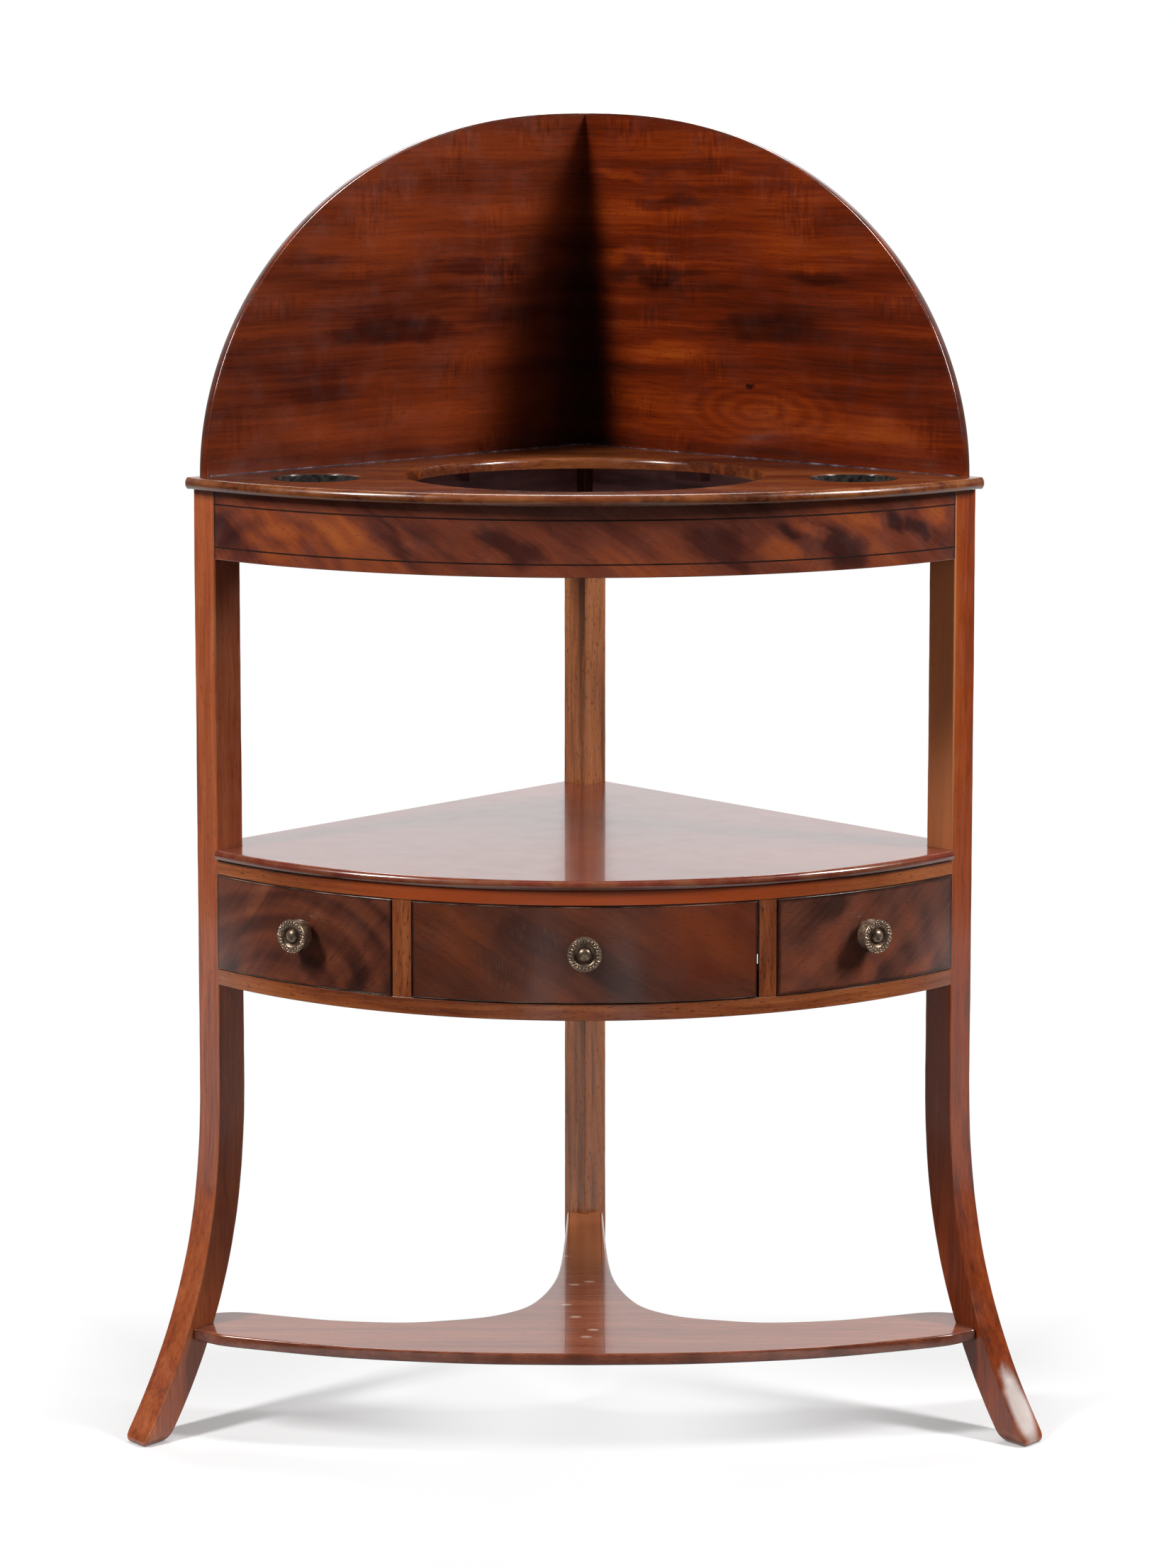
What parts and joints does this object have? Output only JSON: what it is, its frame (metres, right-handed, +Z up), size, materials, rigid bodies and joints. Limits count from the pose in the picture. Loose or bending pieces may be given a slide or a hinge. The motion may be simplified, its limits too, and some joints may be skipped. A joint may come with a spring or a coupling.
{
  "type": "corner washstand",
  "caption": "Bow-fronted corner washstand on square swept legs, with a basin hole, arched splashboards, a drawer between dummy fronts and a low platform.",
  "frame": {"origin": "centre of the bounding box's base, on the floor", "axes": "+Z up, +Y towards the corner of the room, +X to the right of someone facing the front; the plan is symmetric about the YZ plane"},
  "size_m": [0.7562, 0.482, 1.0832],
  "materials": {
    "leg_mahogany": "worn polish",
    "back_leg_mahogany": "open grain, thin polish",
    "top_mahogany": "french polish",
    "splash_mahogany": "french polish",
    "flame_veneer": "french polish",
    "drawer_veneer": "french polish",
    "rail_mahogany": "worn polish",
    "shelf_mahogany": "high gloss french polish",
    "dark_inside": "stained, unpolished",
    "bare_pine": "bare",
    "ebony_line": "french polish",
    "old_brass": "tarnished",
    "iron": "dull",
    "dark_cup": "black lacquer"
  },
  "bodies": {
    "stand": {"left_front_leg": "leg_mahogany", "right_front_leg": "leg_mahogany", "back_leg": "back_leg_mahogany", "bow_frieze": "flame_veneer", "upper_stringing": "ebony_line", "lower_stringing": "ebony_line", "left_top_rail": "dark_inside", "right_top_rail": "dark_inside", "left_side_board": "dark_inside", "right_side_board": "dark_inside", "upper_bow_rail": "rail_mahogany", "lower_bow_rail": "rail_mahogany", "left_muntin": "rail_mahogany", "right_muntin": "rail_mahogany", "left_false_drawer_front": "drawer_veneer", "right_false_drawer_front": "drawer_veneer", "platform": "shelf_mahogany", "middle_shelf": "shelf_mahogany", "top_board": "top_mahogany", "left_splashboard": "splash_mahogany", "right_splashboard": "splash_mahogany", "left_soap_cup": "dark_cup", "right_soap_cup": "dark_cup", "left_splash_screw_1": "iron", "left_splash_screw_2": "iron", "left_splash_screw_3": "iron", "left_rail_block_1": "bare_pine", "left_rail_block_2": "bare_pine", "left_frieze_block": "bare_pine", "left_shelf_block": "bare_pine", "left_runner": "bare_pine", "left_kicker": "bare_pine", "left_guide_block": "bare_pine", "left_drawer_stop": "bare_pine", "left_knob": "old_brass", "left_knob_nut": "old_brass", "right_splash_screw_1": "iron", "right_splash_screw_2": "iron", "right_splash_screw_3": "iron", "right_rail_block_1": "bare_pine", "right_rail_block_2": "bare_pine", "right_frieze_block": "bare_pine", "right_shelf_block": "bare_pine", "right_runner": "bare_pine", "right_kicker": "bare_pine", "right_guide_block": "bare_pine", "right_drawer_stop": "bare_pine", "right_knob": "old_brass", "right_knob_nut": "old_brass", "runner_cross_rail": "bare_pine"},
    "drawer": {"drawer_front": "drawer_veneer", "drawer_left_side": "bare_pine", "drawer_right_side": "bare_pine", "drawer_back": "bare_pine", "drawer_bottom": "bare_pine", "middle_knob": "old_brass", "middle_knob_nut": "old_brass"}
  },
  "joints": [
    {"name": "drawer_slide", "type": "slide", "parent": "stand", "child": "drawer", "axis": [0, -1, 0], "range_m": [0, 0.14]}
  ]
}
